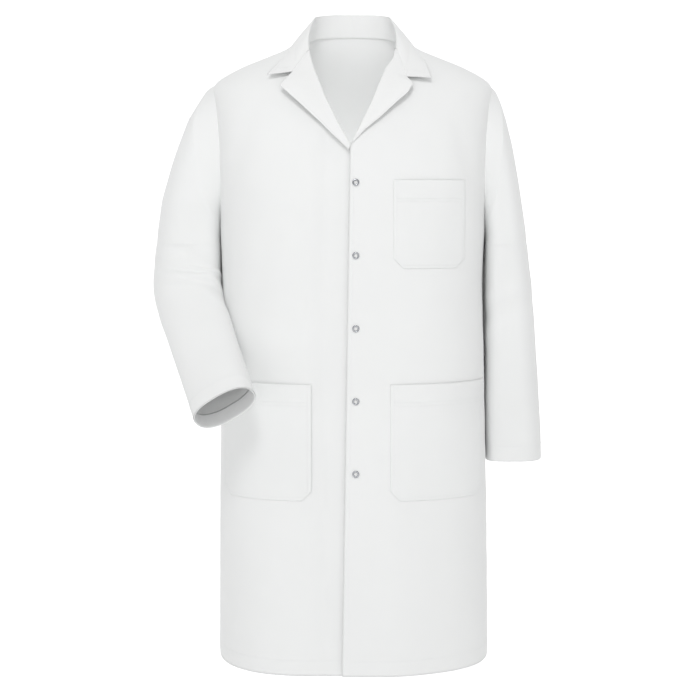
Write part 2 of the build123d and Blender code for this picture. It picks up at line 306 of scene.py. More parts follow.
# ---- mesh making -----------------------------------------------------
def mesh_object(name, verts, faces):
    """A smooth-shaded object, put in the scene."""
    mesh = bpy.data.meshes.new(name)
    mesh.from_pydata(verts, [], faces)
    mesh.polygons.foreach_set("use_smooth", [True] * len(mesh.polygons))
    obj = bpy.data.objects.new(name, mesh)
    bpy.context.scene.collection.objects.link(obj)
    return obj


def sheet_mesh(name, points, keep=None, closed=False, flip=False):
    """A grid of points (rows, columns, 3) as a mesh with its UVs in metres."""
    rows, columns = points.shape[:2]
    grid = to_frame(points)
    across = np.linalg.norm(np.diff(grid, axis=1), axis=2)
    along = np.linalg.norm(np.diff(grid, axis=0), axis=2)
    u = np.concatenate([np.zeros((rows, 1)), np.cumsum(across, 1)], 1)
    v = np.concatenate([np.zeros((1, columns)), np.cumsum(along, 0)], 0)
    u = np.broadcast_to(u.mean(0, keepdims=True) * 0.3 + u * 0.7, u.shape)
    faces = []
    uvs = []
    last = columns if closed else columns - 1
    wrap = u[:, -1:] + np.linalg.norm(grid[:, :1] - grid[:, -1:], axis=2)
    u = np.concatenate([u, wrap], 1)
    v = np.concatenate([v, v[:, :1]], 1)
    for i in range(rows - 1):
        for j in range(last):
            if keep is not None and not keep[i, j]:
                continue
            k = (j + 1) % columns
            corner = [(i, j), (i, k), (i + 1, k), (i + 1, j)]
            flat = [(i, j), (i, j + 1), (i + 1, j + 1), (i + 1, j)]
            if flip:
                corner = corner[::-1]
                flat = flat[::-1]
            faces.append([r * columns + c for r, c in corner])
            uvs.extend((u[r, c], v[r, c]) for r, c in flat)
    obj = mesh_object(name, grid.reshape(-1, 3).tolist(), faces)
    layer = obj.data.uv_layers.new(name="UVMap")
    layer.data.foreach_set("uv", np.array(uvs, np.float32).ravel())
    return obj


def cloth_piece(name, points, material, thickness=CLOTH, normals=None, **how):
    """A sheet of cloth with a real thickness behind its outer face."""
    obj = sheet_mesh(name, points, **how)
    if normals is not None:
        obj.data.normals_split_custom_set_from_vertices(normals.reshape(-1, 3).tolist())
    obj.data.materials.append(material)
    solid = obj.modifiers.new("thickness", "SOLIDIFY")
    solid.thickness = thickness / 1000
    solid.offset = -1
    solid.use_even_offset = False
    solid.use_rim = normals is None
    return obj


def stitches(paths, material, name):
    """Short raised stitches along paths, each a (points, normals) pair."""
    verts = []
    faces = []
    angles = np.linspace(0, 2 * math.pi, STITCH_SIDES, endpoint=False)
    profile = ((-0.5, 0.25), (-0.3, 0.9), (0.0, 1.0), (0.3, 0.9), (0.5, 0.25))
    for points, normals in paths:
        along = distances(points)
        count = int(along[-1] / (STITCH + STITCH_GAP))
        middles = (np.arange(count) + 0.5) * (STITCH + STITCH_GAP)
        place = look_up(middles, along, points)
        ahead = look_up(middles + 0.5, along, points)
        out = look_up(middles, along, normals)
        direction = ahead - place
        for centre, d, n in zip(place, direction, out):
            length = np.linalg.norm(d)
            if length < 1e-6:
                continue
            d = d / length
            n = unit(n - d * (n @ d))
            side = np.cross(d, n)
            first = len(verts)
            for step, size in profile:
                sunk = n * THREAD * (0.55 * size - 0.35)
                for angle in angles:
                    ring = (side * math.cos(angle) + n * 0.8 * math.sin(angle)) * THREAD * size
                    verts.append(centre + d * STITCH * step + sunk + ring)
            for r in range(len(profile) - 1):
                for k in range(STITCH_SIDES):
                    a = first + r * STITCH_SIDES + k
                    b = first + r * STITCH_SIDES + (k + 1) % STITCH_SIDES
                    faces.append([a, b, b + STITCH_SIDES, a + STITCH_SIDES])
            end = first + (len(profile) - 1) * STITCH_SIDES
            faces.append([first + k for k in reversed(range(STITCH_SIDES))])
            faces.append([end + k for k in range(STITCH_SIDES)])
    obj = mesh_object(name, to_frame(np.array(verts)).tolist(), faces)
    obj.data.materials.append(material)
    return obj


def front_path(points, out):
    """A stitch line on the front from (X, height) corners."""
    flat = np.array(points, float)
    pieces = []
    for a, b in zip(flat, flat[1:]):
        count = max(2, int(np.linalg.norm(b - a) / 4))
        pieces.append(a + (b - a) * np.linspace(0, 1, count, endpoint=False)[:, None])
    pieces.append(flat[-1:])
    line = np.vstack(pieces)
    return on_front(line[:, 0], line[:, 1], out), front_normal(line[:, 0], line[:, 1])


def grid_path(points, row=None, column=None, out=0.0, start=0, stop=None, flip=1):
    """A stitch line along one row or column of a grid."""
    du = np.gradient(points, axis=1)
    dv = np.gradient(points, axis=0)
    normal = unit(np.cross(du, dv) * flip)
    part = slice(start, stop)
    if row is not None:
        return points[row, part] + normal[row, part] * out, normal[row, part]
    return points[part, column] + normal[part, column] * out, normal[part, column]


# ---- materials -------------------------------------------------------
def set_sockets(made, values):
    for socket, value in values.items():
        made.inputs[socket].default_value = value


def node(tree, kind, links=(), sockets=None, **settings):
    """A shader node; links are (its socket, from node, from socket)."""
    made = tree.nodes.new(kind)
    for key, value in settings.items():
        setattr(made, key, value)
    set_sockets(made, sockets or {})
    for socket, source, output in links:
        tree.links.new(source.outputs[output], made.inputs[socket])
    return made


def new_material(name):
    """An empty material, its node tree and its shader."""
    material = bpy.data.materials.new(name)
    material.use_nodes = True
    return material, material.node_tree, material.node_tree.nodes["Principled BSDF"]


def twill(name, colour, shade, weave=0.16):
    """Fine white twill: slanting ribs, yarns across them, slubs, faint cloudiness and sheen."""
    material, tree, shader = new_material(name)
    uv = node(tree, "ShaderNodeTexCoord")
    turned = node(tree, "ShaderNodeMapping", [("Vector", uv, "UV")],
                  {"Rotation": (0, 0, math.radians(63))})
    ribs = node(tree, "ShaderNodeTexWave", [("Vector", turned, "Vector")],
                {"Scale": RIB_SCALE, "Distortion": 1.2, "Detail": 1.0, "Detail Scale": 2.0})
    yarns = node(tree, "ShaderNodeTexWave", [("Vector", uv, "UV")],
                 {"Scale": YARN_SCALE, "Distortion": 0.6}, bands_direction="Y")
    slub = node(tree, "ShaderNodeTexNoise", [("Vector", uv, "UV")], {"Scale": 420.0, "Detail": 3.0})
    cloud = node(tree, "ShaderNodeTexNoise", [("Vector", uv, "Object")], {"Scale": 7.0, "Detail": 4.0})
    woven = node(tree, "ShaderNodeMath", [(0, ribs, "Fac"), (1, yarns, "Fac")], operation="MULTIPLY")
    raised = node(tree, "ShaderNodeMath", [(0, woven, 0), (1, slub, "Fac")], operation="ADD")
    relief = node(tree, "ShaderNodeBump", [("Height", raised, 0)],
                  {"Strength": weave, "Distance": 0.0002})
    soft = node(tree, "ShaderNodeBump", [("Height", cloud, "Fac"), ("Normal", relief, "Normal")],
                {"Strength": 0.10, "Distance": 0.004})
    tone = node(tree, "ShaderNodeMapRange", [("Value", cloud, "Fac")], {"From Min": 0.3, "From Max": 0.7})
    mixed = node(tree, "ShaderNodeMix", [("Factor", tone, "Result")], data_type="RGBA")
    set_sockets(mixed, {6: (*shade, 1), 7: (*colour, 1)})
    fleck = node(tree, "ShaderNodeMix", [("Factor", woven, 0)], data_type="RGBA", blend_type="MULTIPLY")
    tree.links.new(mixed.outputs[2], fleck.inputs[6])
    set_sockets(fleck, {7: (0.975, 0.978, 0.98, 1)})
    rough = node(tree, "ShaderNodeMapRange", [("Value", slub, "Fac")], {"To Min": 0.78, "To Max": 0.93})
    tree.links.new(fleck.outputs[2], shader.inputs["Base Color"])
    tree.links.new(rough.outputs["Result"], shader.inputs["Roughness"])
    tree.links.new(soft.outputs["Normal"], shader.inputs["Normal"])
    set_sockets(shader, {"Sheen Weight": 0.12, "Sheen Roughness": 0.5, "Specular IOR Level": 0.2})
    return material


def metal(name):
    """Polished nickel with fine scratches and a little wear, its colour darkened as a painted dark
    reflection.
    """
    material, tree, shader = new_material(name)
    where = node(tree, "ShaderNodeTexCoord")
    wear = node(tree, "ShaderNodeTexNoise", [("Vector", where, "Object")],
                {"Scale": 900.0, "Detail": 5.0})
    rough = node(tree, "ShaderNodeMapRange", [("Value", wear, "Fac")], {"To Min": 0.16, "To Max": 0.34})
    scratched = node(tree, "ShaderNodeBump", [("Height", wear, "Fac")],
                     {"Strength": 0.15, "Distance": 0.0001})
    # painted reflection: the base colour is darker than nickel's, standing in for darker surroundings
    # reflected in the snap rings
    set_sockets(shader, {"Base Color": (0.40, 0.41, 0.43, 1), "Metallic": 1.0})
    tree.links.new(rough.outputs["Result"], shader.inputs["Roughness"])
    tree.links.new(scratched.outputs["Normal"], shader.inputs["Normal"])
    return material


body_cloth = twill("twill_body", (0.876, 0.883, 0.879), (0.857, 0.864, 0.860))
# painted light: the facings, lapels and collar use a lighter copy of the body's twill, standing in for
# the extra light the lapels and collar catch
facing_cloth_painted_light = twill("twill_facing_painted_light", (0.888, 0.893, 0.889), (0.871, 0.876, 0.872))
pocket_cloth = twill("twill_pocket", (0.873, 0.881, 0.877), (0.854, 0.862, 0.858))
sleeve_cloth = twill("twill_sleeve", (0.875, 0.882, 0.878), (0.856, 0.863, 0.859))
# painted light: the hems inside the sleeve ends use a much lighter copy of the sleeves' twill, making up
# for the shade in the openings
cuff_cloth_painted_light = twill("twill_cuff_painted_light", (0.935, 0.94, 0.938), (0.92, 0.925, 0.924))
thread = twill("sewing_thread", (0.86, 0.87, 0.872), (0.82, 0.83, 0.835), 0.3)
nickel = metal("polished_nickel")


# ---- joint bands, worked out but not applied -------------------------
FOLD_OUTER = 62.0        # |X| where a front starts to turn with its moving edge
FOLD_INNER = 22.0        # |X| from which it turns fully
SHOULDER_BEND = {1: 105.0, -1: 84.0}         # length of sleeve over which it bends
ELBOW_CUT = 600.0        # height where the left sleeve's two pieces meet
ELBOW_LEAD = 5.0         # how far before the crease the right sleeve's two pieces meet
ELBOW_BEND = {1: 85.0, -1: 73.0}             # length of sleeve over which an elbow bends
LEFT_ELBOW = (264.0, -56.0)                  # X and Y of the left elbow's crease


def bend_with_front(obj, side):
    """Bakes the piece's placing into its mesh; the band where it would turn with the front's edge is
    worked out but not used.
    """
    start = np.array((FOLD_OUTER * side, -150.0, 500.0))
    end = np.array((FOLD_INNER * side, -150.0, 500.0))
    tuple(to_frame(start))
    tuple(to_frame(end))
    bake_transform(obj)


def bend_with_shoulder(obj, side):
    """Bakes the piece's placing into its mesh; where it would turn with the upper arm is worked out but
    not used.
    """
    n = np.array((0.35 * side, 0.0, -0.937)) if side > 0 else np.array((-0.30, -0.35, -0.886))
    start = np.array((228.0 * side, 8.0, 706.0))
    end = start + unit(n) * SHOULDER_BEND[side]
    tuple(to_frame(start))
    tuple(to_frame(end))
    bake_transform(obj)


def bend_with_elbow(obj, side):
    """Bakes the piece's placing into its mesh; where it would turn with the forearm is worked out but not
    used.
    """
    if side > 0:
        start = np.array((*LEFT_ELBOW, ELBOW_CUT))
        end = np.array((*LEFT_ELBOW, ELBOW_CUT - ELBOW_BEND[side]))
    else:
        middle = np.array(BEND_MIDDLE)
        start = np.array(RIGHT_CREASE) - ELBOW_LEAD * middle
        end = np.array(RIGHT_CREASE) + (ELBOW_BEND[side] - ELBOW_LEAD) * middle
    tuple(to_frame(start))
    tuple(to_frame(end))
    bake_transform(obj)


# ---- body ------------------------------------------------------------
FRONT_COLUMNS = 96
BACK_COLUMNS = 150


def quarter(height, x_from, front=True):
    """A level line of the body from X x_from round to the side seam, as dense points."""
    a, b, c = body_at(height)
    theta = np.linspace(0, math.pi / 2, 260)
    x = a * np.cos(theta) ** (2 / SQUARENESS)
    y = b * np.sin(theta) ** (2 / SQUARENESS)
    keep = x > max(x_from, 0)
    line = np.stack([x[keep], (c - y if front else c + y)[keep]], 1)[::-1]
    start = np.array([[x_from, float(front_y(abs(x_from), height))]])
    if x_from < 0:
        more = np.linspace(x_from, 0, 12)[:, None]
        start = np.concatenate([more, front_y(np.abs(more), height)], 1)
    return np.vstack([start, line]) if front else line


def in_armhole(points, side, share=0.95):
    """Grid faces that lie in the armhole."""
    middle = (points[:-1, :-1] + points[1:, 1:]) / 2
    y, z, half_y, half_z = ARMHOLE
    inside = ((middle[..., 1] - y) / half_y) ** 2 + ((middle[..., 2] - z) / half_z) ** 2 < share ** 2
    return inside & (middle[..., 0] * side > 150)


def above_neck_seam(points):
    """Grid faces that lie above the neck seam."""
    middle = (points[:-1, :-1] + points[1:, 1:]) / 2
    y, z = NECK_POINT
    return middle[..., 2] > z + (middle[..., 1] - y) * math.tan(math.radians(NECK_TILT))


def inner_edge(side, height):
    """|X| signed towards this side, where the front begins at a height."""
    if height >= V_HEIGHT:
        rows = np.array(ROLL[side], float)
        return float(np.interp(height, rows[:, 0], rows[:, 1]))
    if side > 0:
        return float(np.interp(height, *zip(*FRONT_EDGE)))
    corner = smooth((height - 822) / 29)
    return float(-UNDERLAP * (1 - corner))


def front_points(side):
    """Grid of one front, hem to neck, front edge to side seam."""
    heights = np.concatenate([np.linspace(0, V_HEIGHT, 172), np.linspace(V_HEIGHT, FRONT_TOP, 44)[1:]])
    rows = []
    for height in heights:
        edge = inner_edge(side, height)
        line = spread(quarter(height, edge), FRONT_COLUMNS)
        x = line[:, 0] * side
        n = front_normal(x, height)
        shift = drape(x, height) * smooth((line[:, 1].max() - line[:, 1]) / 40)
        if side < 0:
            under = smooth((UNDER_FROM - line[:, 0]) / UNDER_BAND) * (1 - smooth((height - 835) / 60))
            shift = shift - UNDER_DEPTH * under
        else:
            # the cloth is pressed in at each snap and round it, and rolls under at the edge
            for snap in SNAP_HEIGHTS:
                near = np.hypot(x - SNAP_X, height - snap)
                shift = shift - 0.25 * bump(near, 0, 3.2) - 0.12 * bump(near, 9, 3)
            shift = shift - 0.9 * np.exp((edge - line[:, 0]) / 1.3)
        rows.append(np.stack([x + n[:, 0] * shift, line[:, 1] + n[:, 1] * shift,
                              np.full(len(x), height) + n[:, 2] * shift], 1))
    return np.array(rows)


def back_points():
    """Grid of the back, side seam to side seam."""
    heights = np.concatenate([np.linspace(0, 880, 150), np.linspace(880, BACK_TOP, 56)[1:]])
    rows = []
    for height in heights:
        half = quarter(height, 0, front=False)
        half = np.vstack([[0, half[0, 1]], half])
        line = np.vstack([half[::-1], (half * (-1, 1))[1:]])
        line = spread(line, BACK_COLUMNS)
        x, y = line[:, 0], line[:, 1]
        away = smooth((y - y.min()) / 50)
        low = smooth((700 - height) / 650)
        # folds that deepen to the hem, then at the waist and at the shoulder blades
        fold = 5.0 * low * np.cos(x / 36.0 + 0.4 * math.sin(height / 240.0))
        fold = fold + 2.2 * bump(height, 640, 80) * np.sin((x + 0.3 * height) / 42.0)
        fold = fold + 1.6 * bump(height, 900, 60) * np.sin(x / 27.0)
        y = y + fold * away
        rows.append(np.stack([x, y, np.full(len(x), height)], 1))
    return np.array(rows)


back_grid = back_points()
back_keep = ~(in_armhole(back_grid, 1) | in_armhole(back_grid, -1) | above_neck_seam(back_grid))
back = cloth_piece("cloth_back", back_grid, body_cloth, keep=back_keep)
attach(back, "torso")
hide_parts("back_panel")
back_row = int(np.argmin(np.abs(back_grid[:, 0, 2] - HEM_RISE)))
back_thread = stitches([grid_path(back_grid, row=back_row, out=0.15)], thread, "thread_back_hem")
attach(back_thread, "torso")

front_grids = {}
for side in (1, -1):
    name = SIDE_NAME[side]
    grid = front_points(side)
    front_grids[side] = grid
    keep = ~(in_armhole(grid, side) | above_neck_seam(grid))
    made = cloth_piece("cloth_" + name + "_front", grid, body_cloth, keep=keep, flip=side < 0)
    bend_with_front(made, side)
    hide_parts(name + "_front_panel", name + "_placket")


# ---- facings ---------------------------------------------------------
for side in (1, -1):
    name = SIDE_NAME[side]
    heights = np.linspace(2, FACING_TOP, 120)
    rows = []
    for height in heights:
        edge = inner_edge(side, min(height, 820)) + 1.2
        u = np.linspace(edge, edge + FACING_WIDTH, FACING_COLUMNS)
        depth = -CLOTH - 1.0 - 0.4 * np.sin(u / 9.0) ** 2
        if side < 0:
            depth = depth - UNDER_DEPTH * smooth((UNDER_FROM - u) / UNDER_BAND)
        x = u * side
        n = front_normal(x, height)
        out = depth + drape(x, height)
        surface = np.stack([x, front_y(x, height), np.full(FACING_COLUMNS, height)], 1)
        rows.append(surface + n * out[:, None])
    made = cloth_piece("cloth_" + name + "_facing", np.array(rows), facing_cloth_painted_light, FACING_CLOTH,
                       flip=side < 0)
    bend_with_front(made, side)
    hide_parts(name + "_front_facing")


# ---- lapels ----------------------------------------------------------
LAPEL_ROWS = 64
LAPEL_ROLL_STEPS = 9
LAPEL_STEPS = 40


def broken_line(corners, shares):
    """A function along a line with corners, each corner at its share of the way."""
    corners = np.array(corners, float)

    def at(share):
        return look_up(share, shares, corners)
    return at


def lapel_points(side):
    """Grid of one lapel: rolled over at its inner edge, standing a little off at its outer one."""
    roll = np.array(ROLL[side], float)
    gorge_x, gorge_h = GORGE_TOP[side]
    edge = LAPEL_EDGE[side]
    notch, gorge = np.array(LAPEL_NOTCH[side], float), np.array(GORGE_TOP[side], float)
    down = unit(notch - gorge)
    under = LAPEL_UNDER * np.array((-down[1], down[0]))
    corners = [*edge, tuple(notch), tuple(notch + under), tuple(gorge + under)]
    shares = [*np.linspace(0, 40 / 63, len(edge)), 47 / 63, 49 / 63, 1.0]
    outer_at = broken_line(corners, shares)
    first = max(roll[0, 0], edge[0][1])
    rows = []
    for k in np.linspace(0, 1, LAPEL_ROWS):
        height = first + (gorge_h - first) * k
        inner = np.array((np.interp(height, roll[:, 0], roll[:, 1]), height))
        outer = outer_at(k)
        length = max(np.linalg.norm(outer - inner), 1e-6)
        toward = (outer - inner) / length
        radius = min(ROLL_RADIUS, length * 0.3)
        stand = min(float(np.interp(k, *LAPEL_STAND)), 0.5 + length * 0.5)
        row = []
        for step in range(LAPEL_ROLL_STEPS):
            angle = math.pi * step / LAPEL_ROLL_STEPS
            place = inner + toward * radius * (1 - math.sin(angle))
            row.append((place[0], place[1], radius * (1 - math.cos(angle)) - 0.6))
        for t in np.linspace(0, 1, LAPEL_STEPS):
            place = inner + toward * (radius + (length - radius) * t)
            fall = smooth(t)
            lift = (2 * radius - 0.6) * (1 - fall) + stand * fall
            belly = 1.2 * math.sin(math.pi * t) * min(1.0, length / 50)
            row.append((place[0], place[1], lift + belly))
        rows.append(row)
    flat = np.array(rows)
    return on_front(flat[..., 0] * side, flat[..., 1], flat[..., 2])


threads_with_front = {1: [], -1: []}
for side in (1, -1):
    name = SIDE_NAME[side]
    grid = lapel_points(side)
    made = cloth_piece("cloth_" + name + "_lapel", grid, facing_cloth_painted_light, LAPEL_CLOTH, flip=side < 0)
    bend_with_front(made, side)
    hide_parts(name + "_lapel")
    threads_with_front[side].append(grid_path(grid, column=-6, out=0.1, start=6, stop=40, flip=side))


# ---- collar ----------------------------------------------------------
COLLAR_ROWS = 90
FALL_STEPS = 33          # steps down the fall, and the one that lies at the notch
NOTCH_STEP = 19
FRONT_SHAPING = 34       # rows over which the collar takes up its front edge


def collar_front_edge(side, count):
    """The collar's front end: down the gorge to the notch, then out to the tip."""
    corners = [(*GORGE_TOP[side], 3.4), (*LAPEL_NOTCH[side], 7.9), (*COLLAR_TIP[side], 12.0)]
    at = broken_line(corners, [0, NOTCH_STEP / FALL_STEPS, 1])
    flat = np.array([at(t) for t in np.linspace(0, 1, count)])
    points = on_front(flat[:, 0] * side, flat[:, 1], flat[:, 2])
    points[:, 0] *= side
    return points


def collar_points(side):
    """Grid of half the collar: up the stand, over the fold and down the fall."""
    seam = curve(COLLAR_SEAM, COLLAR_ROWS)
    fold = curve(COLLAR_FOLD, COLLAR_ROWS)
    front = collar_front_edge(side, FALL_STEPS + 1)
    seam[0] = front[0] + (0, 5, 0)
    edge = curve([tuple(front[-1])] + COLLAR_EDGE, COLLAR_ROWS)
    gap = front[0] - fold[0]
    rows = []
    for k in range(COLLAR_ROWS):
        held = 1 - smooth(k / FRONT_SHAPING)
        s, f, e = seam[k], fold[k] + gap * held, edge[k]
        up = unit(f - s)
        down = unit(e - f)
        reach = min(6.0, 0.45 * np.linalg.norm(f - s))
        a, b = f - up * reach, f + down * reach
        line = [s + (a - s) * t for t in np.linspace(0, 1, 9, endpoint=False)]
        for t in np.linspace(0, 1, 13):
            line.append(a * (1 - t) ** 2 + 2 * f * t * (1 - t) + b * t ** 2)
        across = unit(np.cross(np.gradient(fold, axis=0)[k], down))
        if across[2] < 0:
            across = -across
        part_way = k / (COLLAR_ROWS - 1)
        belly = 1.5 * smooth(k / 20) + 1.5 * smooth((k - 40) / 30)
        for i, t in enumerate(np.linspace(0, 1, FALL_STEPS + 1)):
            if i == 0:
                continue
            straight = b + (e - b) * t
            plain = front[0] + (front[-1] - front[0]) * t
            swell = belly * math.sin(math.pi * t ** 0.9)
            wave = 0.7 * math.sin(7.0 * part_way + 2.0 * t) * (1 - held)
            line.append(straight + across * (swell + wave * t) + (front[i] - plain) * held)
        rows.append(line)
    points = np.array(rows)
    points[..., 0] *= side
    return points


collar_half = collar_points(1)
other_half = collar_points(-1)
collar_grid = np.concatenate([collar_half, other_half[-2::-1]])
collar = cloth_piece("cloth_collar", collar_grid, facing_cloth_painted_light, COLLAR_CLOTH)
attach(collar, "torso")
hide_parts("upper_collar", "under_collar", "collar_stand")
collar_lines = [grid_path(collar_grid, column=-4, out=0.1, start=2, stop=-2)]
for row in (5, -6):
    collar_lines.append(grid_path(collar_grid, row=row, out=0.1, start=21 + NOTCH_STEP, stop=-4))
collar_thread = stitches(collar_lines, thread, "thread_collar")
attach(collar_thread, "torso")


# ---- pockets ---------------------------------------------------------
POCKET_ROWS = 60
POCKET_COLUMNS = 48


def pocket_points(edges, side, swell):
    """Grid of a patch pocket, sewn down round its sides and standing open at its mouth."""
    inner, outer, bottom, top = edges
    u_in = np.linspace(0, 1, POCKET_COLUMNS)
    v_in = np.concatenate([[bottom, bottom], np.linspace(bottom + 0.9, bottom + POCKET_CORNER, 8),
                           np.linspace(bottom + POCKET_CORNER, top, POCKET_ROWS)[1:]])
    rows = []
    for i, height in enumerate(v_in):
        cut = max(0.0, POCKET_CORNER - (height - bottom))
        left, right = inner + cut, outer - cut
        width = right - left
        x = left + width * u_in
        x = np.concatenate([[left, left], x[1:-1], [right, right]])
        x[2] = left + 0.9
        x[-3] = right - 0.9
        from_side = np.minimum(x - left, right - x)
        from_low = height - bottom
        from_edge = np.minimum(from_side + cut * 0.3, from_low)
        out = np.interp(from_edge, POCKET_RIM, POCKET_LIFT)
        open_share = smooth((height - bottom) / (top - bottom))
        middle = np.sin(np.clip((x - left) / width, 0, 1) * math.pi)
        out = out + swell * middle ** 0.8 * (0.35 + 0.65 * open_share) * smooth(from_edge / 26)
        if i == 0:
            out = out * 0 + 0.15
        out[0] = 0.15
        out[-1] = 0.15
        hem = top - POCKET_HEM
        out = out + 0.25 * (1 if height > hem else math.exp(-((height - hem) / 1.5) ** 2))
        rows.append(np.stack([x * side, np.full(len(x), height), out], 1))
    flat = np.array(rows)
    return on_front(flat[..., 0], flat[..., 1], flat[..., 2] + 0.1), flat


def pocket(name, edges, side, swell, cad_node):
    """A patch pocket; its stitching joins the front's."""
    grid, flat = pocket_points(edges, side, swell)
    made = cloth_piece("cloth_" + name, grid, pocket_cloth, 0.9, flip=side < 0)
    bend_with_front(made, side)
    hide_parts(cad_node)
    lines = []
    for column in (3, -4):
        lines.append(grid_path(grid, column=column, out=0.1, start=3, flip=side))
    lines.append(grid_path(grid, row=4, out=0.1, start=3, stop=-3, flip=side))
    top = edges[3]
    for drop in (29.0, 34.0):
        row = int(np.argmin(np.abs(flat[:, 0, 1] - (top - drop))))
        lines.append(grid_path(grid, row=row, out=0.1, start=3, stop=-3, flip=side))
    threads_with_front[side].extend(lines)
    return made


pockets = [
    pocket("chest_pocket", CHEST_POCKET, 1, 0.7, "chest_pocket"),
    pocket("left_lower_pocket", LEFT_LOWER_POCKET, 1, 1.0, "left_lower_pocket"),
    pocket("right_lower_pocket", RIGHT_LOWER_POCKET, -1, 1.2, "right_lower_pocket"),
]

# stitching of the edges and the hem of each front
threads_with_front[1].append(front_path([(-8, 28), (2.5, 846)], 0.1))
for side in (1, -1):
    grid = front_grids[side]
    row = int(np.argmin(np.abs(grid[:, 0, 2] - HEM_RISE)))
    threads_with_front[side].append(grid_path(grid, row=row, out=0.15, start=3, flip=side))
front_threads = {}
for side in (1, -1):
    name = SIDE_NAME[side]
    front_threads[side] = stitches(threads_with_front[side], thread, "thread_" + name + "_front")
    bend_with_front(front_threads[side], side)


# ---- sleeves ---------------------------------------------------------
AROUND = 104             # points round a ring
CAP_RINGS = 58           # rings of the cap, then of the rest of each sleeve
LEFT_RINGS = 116
RIGHT_RINGS = 118
TUCK_RINGS = 3           # rings of the upper sleeve that run on inside the lower one
TUCK_DEPTH = 0.5

# folds of the bent sleeve: height, share of the slant, place and width along the sleeve,
# direction round it and width round it in degrees
RIGHT_FOLDS = (
    (-2.4, 1.0, 0.215, 0.036, 122, 52),
    (2.2, 1.3, 0.285, 0.040, 122, 52),
    (-1.8, 1.6, 0.355, 0.042, 100, 80),
    (1.4, 1.8, 0.430, 0.050, 100, 80),
    (1.8, 1.2, 0.150, 0.036, 100, 80),
    (-1.6, 1.5, 0.085, 0.036, 100, 80),
)


def ring_at(rows, side, height):
    """Centre and the two half axes of a level ring, nine numbers."""
    inner, outer, centre_y, half = [soft_table(rows, k, height) for k in (1, 2, 3, 4)]
    return np.array((side * (inner + outer) / 2, centre_y, height,
                     side * (outer - inner) / 2, 0, 0, 0, half, 0))


def oval(psi, side_square=SIDE_SQUARE):
    """The two coordinates of a unit oval, squarer than a circle and more so on its inner side."""
    c, s = np.cos(psi), np.sin(psi)
    square = SLEEVE_SQUARE + (side_square - SLEEVE_SQUARE) * smooth(0.2 - 2 * c)
    reach = (np.abs(c) ** square + np.abs(s) ** square) ** (-1 / square)
    return c * reach, s * reach


def ring_points(centre, out_axis, back_axis, psi, side_square):
    """The points of one ring."""
    c, s = oval(psi, side_square)
    return centre + out_axis * c[:, None] + back_axis * s[:, None]


def cap_points(rows, side, psi):
    """Rings from the armhole seam down to the first level ring."""
    y, z, half_y, half_z = ARMHOLE
    seam_h = z + half_z * np.cos(psi)
    seam_y = y + half_y * np.sin(psi)
    a, b, c = body_at(seam_h)
    share = np.clip(np.abs(seam_y - c) / b, 0, 0.98)
    sunk = 0.8 + 2.2 * np.abs(np.sin(psi))
    seam_x = side * (a * (1 - share ** SQUARENESS) ** (1 / SQUARENESS) - sunk)
    seam = np.stack([seam_x, seam_y, seam_h], 1)
    rings = []
    for v in np.linspace(0, 1, CAP_RINGS):
        height = seam_h + (CAP_LOW - seam_h) * v
        inner, outer, centre_y, half = [soft_table(rows, k, height) for k in (1, 2, 3, 4)]
        c, s = oval(psi)
        tube = np.stack([
            side * ((inner + outer) / 2 + (outer - inner) / 2 * c),
            centre_y + half * s,
            height,
        ], 1)
        below = seam_h - height
        weight = smooth(below / 15.0 + 0.12 * (v > 0))[:, None]
        weight = np.maximum(weight, smooth(v * 2.0))
        start = seam.copy()
        start[:, 2] = height
        rings.append(start * (1 - weight) + tube * weight)
    return rings


def right_lower_stations():
    """Centre and half axes of the bent sleeve's rings, from the upper arm to the cuff."""
    along = unit(CUFF_CENTRE - ELBOW_CENTRE)
    across = unit(np.array((1.0, 0, 0)) - along * along[0])
    under = np.cross(along, across)
    if under[2] > 0:
        under = -under
    stations = [ring_at(RIGHT_ROWS, -1, height) for height in (CAP_LOW, 672, 654)]
    middle_back = np.array((-0.02, 0.90, -0.43)) * 57
    middle_out = np.array((-57.0, -5.0, -5.0))
    stations.append(np.concatenate([(-274.5, -27.0, 617.0), middle_out, middle_back]))
    for t in (0.14, 0.3, 0.5, 0.7, 0.85, 1.0):
        half_x = ELBOW_HALF[0] + (CUFF_HALF[0] - ELBOW_HALF[0]) * t
        half_y = ELBOW_HALF[1] + (CUFF_HALF[1] - ELBOW_HALF[1]) * t
        centre = ELBOW_CENTRE + (CUFF_CENTRE - ELBOW_CENTRE) * t
        turn = math.radians(CUFF_TURN) * smooth(t)
        wide = under * math.sin(turn) - across * math.cos(turn)
        narrow = under * math.cos(turn) + across * math.sin(turn)
        stations.append(np.concatenate([centre, wide * half_x, narrow * half_y]))
    return curve(stations, RIGHT_RINGS)


def left_lower_stations():
    """The same for the hanging sleeve."""
    heights = np.linspace(CAP_LOW, LEFT_CUFF, LEFT_RINGS)
    return np.array([ring_at(LEFT_ROWS, 1, height) for height in heights])


def round_from(psi, degrees):
    """How far round the ring from a direction, between -180 and 180 degrees."""
    return (np.degrees(psi) + degrees + 180) % 360 - 180


